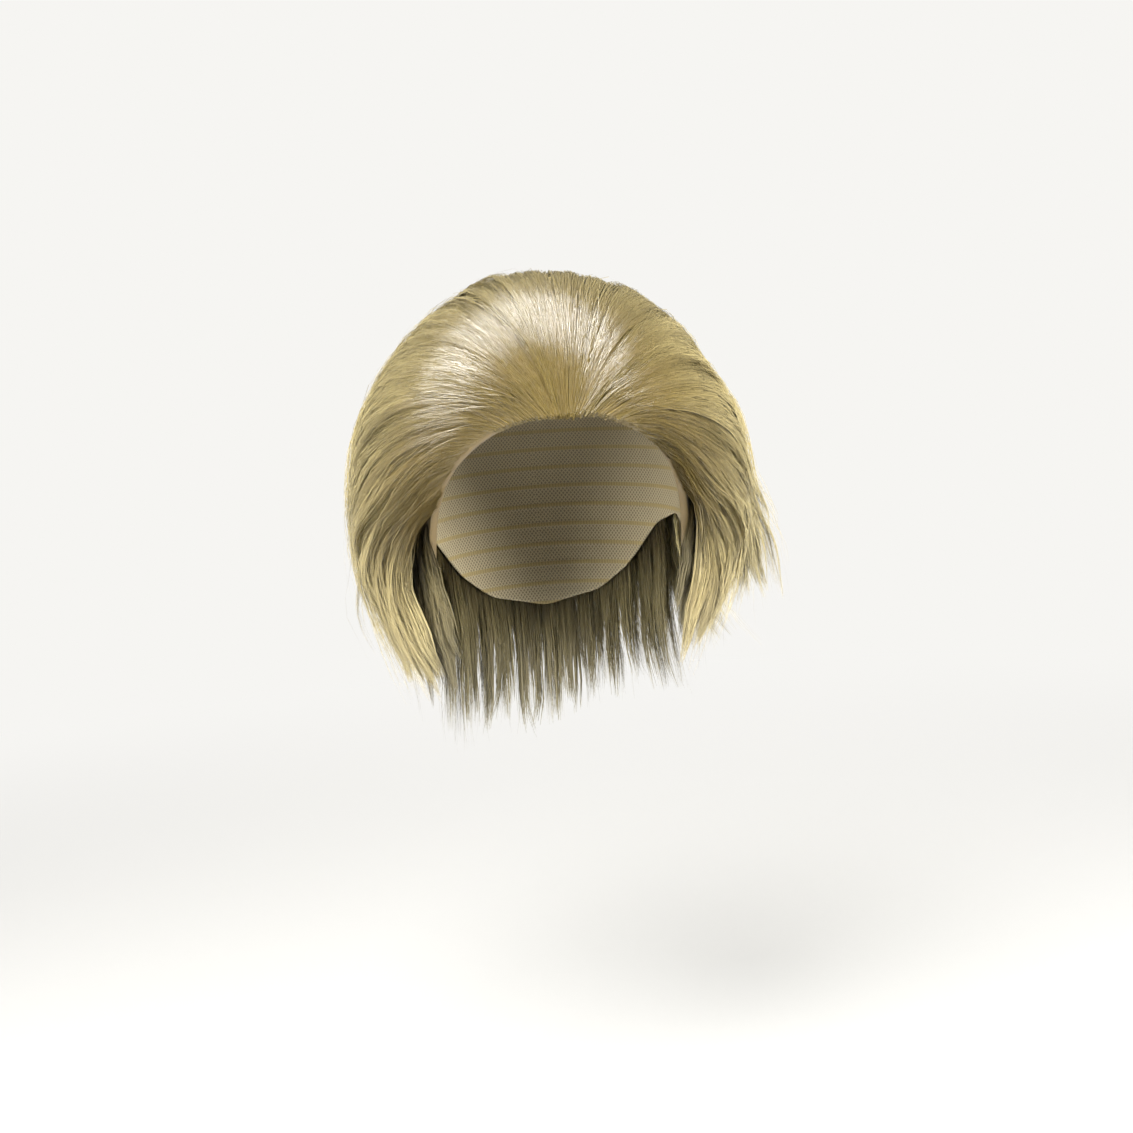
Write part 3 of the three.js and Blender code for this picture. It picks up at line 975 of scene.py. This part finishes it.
class WIG_OT_swept_hair(bpy.types.Operator):
    """Combs the hair that starts at the front edge and sweeps back"""
    bl_idname = "wig.swept_hair"
    bl_label = "Swept hair"

    def execute(self, context):
        hair = context.scene.wig_hair
        material = modacrylic_fibre("heat-set modacrylic fibre, combed", hair, TOP_TONE)
        for name in ("front_sweep_right", "crown_hair", "front_sweep_left", "back_hair"):
            grow(name, hair, material)
        return {"FINISHED"}


class WIG_OT_under_hair(bpy.types.Operator):
    """Combs the hair under the sweeps and at the nape, darkened as painted shade"""
    bl_idname = "wig.under_hair"
    bl_label = "Under hair"

    def execute(self, context):
        hair = context.scene.wig_hair
        # The under layer is the same fibre, darkened as painted shade
        material = modacrylic_fibre("heat-set modacrylic fibre, under layer in painted shade", hair, UNDER_PAINTED_SHADE)
        for name in ("side_under_right", "side_under_left", "nape_hair"):
            grow(name, hair, material)
        return {"FINISHED"}


def aim(place, target, roll=0.0):
    """A matrix at a place that looks at a target, as cameras and lamps do."""
    back = (Vector(place) - Vector(target)).normalized()
    right = Vector((0, 0, 1)).cross(back).normalized()
    up = back.cross(right)
    right, up = right * math.cos(roll) + up * math.sin(roll), up * math.cos(roll) - right * math.sin(roll)
    matrix = Matrix((right, up, back)).transposed().to_4x4()
    matrix.translation = place
    return matrix


# What the lamps are aimed at, and how bright the room is beside them
LAMP_AIM = Vector((0, 0, 0.04))
ROOM_LIGHT = 0.2

# Each lamp's place, width and power, and whether it lights the hair's colour and its gloss
LAMPS = {
    "overhead": ((-0.5, 0.1, 1.4), 1.4, 112, False, True),
    "front": ((-0.5, -1.1, 1.2), 1.0, 68, True, False),
    "left": ((-1.4, -1.3, 0.15), 0.9, 56, True, False),
    "right": ((1.35, -1.4, 0.3), 0.9, 108, True, False),
    "back": ((0.3, 1.9, 1.0), 1.2, 34, True, False),
}


class WIG_OT_stage(bpy.types.Operator):
    """Sets the camera, the soft lamps and the pale floor"""
    bl_idname = "wig.stage"
    bl_label = "Stage"

    def execute(self, context):
        scene = context.scene
        stage = scene.wig_stage
        scene.view_settings.view_transform = "Standard"
        target = Vector(stage.target)
        back = Vector((
            math.sin(stage.yaw) * math.cos(stage.elevation),
            -math.cos(stage.yaw) * math.cos(stage.elevation),
            math.sin(stage.elevation),
        ))
        camera = bpy.data.objects.new("camera", bpy.data.cameras.new("camera"))
        camera.data.lens = stage.lens
        camera.data.sensor_width = 36
        camera.data.sensor_fit = "HORIZONTAL"
        camera.data.clip_start = 0.02
        camera.matrix_world = aim(target + back * stage.distance, target, stage.roll)
        scene.collection.objects.link(camera)
        scene.camera = camera
        for name, (place, width, power, colour, gloss) in LAMPS.items():
            lamp = bpy.data.lights.new(name, "AREA")
            lamp.shape = "DISK"
            lamp.size = width
            lamp.energy = power
            lamp_object = bpy.data.objects.new(name, lamp)
            lamp_object.matrix_world = aim(Vector(place), LAMP_AIM)
            lamp_object.visible_diffuse = colour
            lamp_object.visible_glossy = gloss
            scene.collection.objects.link(lamp_object)
        scene.world = bpy.data.worlds.new("studio")
        scene.world.use_nodes = True
        room = scene.world.node_tree.nodes["Background"]
        room.inputs[0].default_value = stage.backdrop
        room.inputs[1].default_value = ROOM_LIGHT
        self.floor(stage)
        return {"FINISHED"}

    def floor(self, stage):
        """A pale floor that brightens into a plain backdrop of the same colour"""
        reach, wall, rings, turns = 7.0, 0.95, 24, 96
        near, faded = 0.4, 1.6
        first_ring, ring_power = 0.002, 1.5
        lowest, highest = -2, 88
        material, tree = new_material("painted plywood floor, rolled matt white")
        place = node(tree, "ShaderNodeTexCoord")
        away = node(tree, "ShaderNodeVectorMath", {0: place.outputs["Object"]}, operation="LENGTH")
        far = ranged(tree, away.outputs["Value"], near, faded, curve="SMOOTHSTEP")
        paint = node(tree, "ShaderNodeBsdfDiffuse", {"Color": linear("#b4b3b0")})
        glow = node(tree, "ShaderNodeEmission", {"Color": stage.backdrop})
        both = node(tree, "ShaderNodeMixShader", {0: far, 1: paint.outputs[0], 2: glow.outputs[0]})
        node(tree, "ShaderNodeOutputMaterial", {0: both.outputs[0]})
        low = cad_box[0][2] - stage.floor_drop
        radius = reach * np.linspace(first_ring, 1, rings) ** ring_power
        turn = np.linspace(0, 2 * np.pi, turns, endpoint=False)
        corners = np.stack([
            np.outer(radius, np.cos(turn)), np.outer(radius, np.sin(turn)), np.zeros((rings, turns))], -1)
        floor = joined_mesh("floor", corners.reshape(-1, 3), [closed_grid(rings, turns)])
        floor.location = (0, 0, low)
        floor.data.materials.append(material)
        material, tree = new_material("painted canvas backdrop, matt white")
        glow = node(tree, "ShaderNodeEmission", {"Color": stage.backdrop})
        node(tree, "ShaderNodeOutputMaterial", {0: glow.outputs[0]})
        tall = np.radians(np.linspace(lowest, highest, rings))
        corners = np.stack([
            np.outer(np.cos(tall), np.cos(turn)), np.outer(np.cos(tall), np.sin(turn)),
            np.outer(np.sin(tall), np.ones(turns))], -1) * reach * wall
        dome = joined_mesh("backdrop", corners.reshape(-1, 3), [closed_grid(rings, turns)])
        dome.location = (0, 0, low)
        dome.data.materials.append(material)
        dome.visible_diffuse = False
        dome.visible_glossy = False
        dome.visible_shadow = False


class WIG_PT_pieces(bpy.types.Panel):
    """Lists the wig's pieces"""
    bl_label = "Wig"
    bl_idname = "WIG_PT_pieces"
    bl_space_type = "VIEW_3D"
    bl_region_type = "UI"
    bl_category = "Wig"

    def draw(self, context):
        for operator in OPERATORS:
            self.layout.operator(operator.bl_idname)


OPERATORS = (WIG_OT_stage, WIG_OT_cap, WIG_OT_binding, WIG_OT_swept_hair, WIG_OT_under_hair)
SETTINGS = {"wig_hair": HairSettings, "wig_cap": CapSettings, "wig_stage": StageSettings}
CLASSES = (*SETTINGS.values(), *OPERATORS, WIG_PT_pieces)


def register():
    for made in CLASSES:
        bpy.utils.register_class(made)
    for name, settings in SETTINGS.items():
        setattr(bpy.types.Scene, name, bpy.props.PointerProperty(type=settings))


def unregister():
    for name in SETTINGS:
        delattr(bpy.types.Scene, name)
    for made in reversed(CLASSES):
        bpy.utils.unregister_class(made)


def main():
    register()
    bpy.ops.wig.stage()
    bpy.ops.wig.cap()
    bpy.ops.wig.binding()
    bpy.ops.wig.swept_hair()
    bpy.ops.wig.under_hair()


if __name__ == "__main__":
    main()
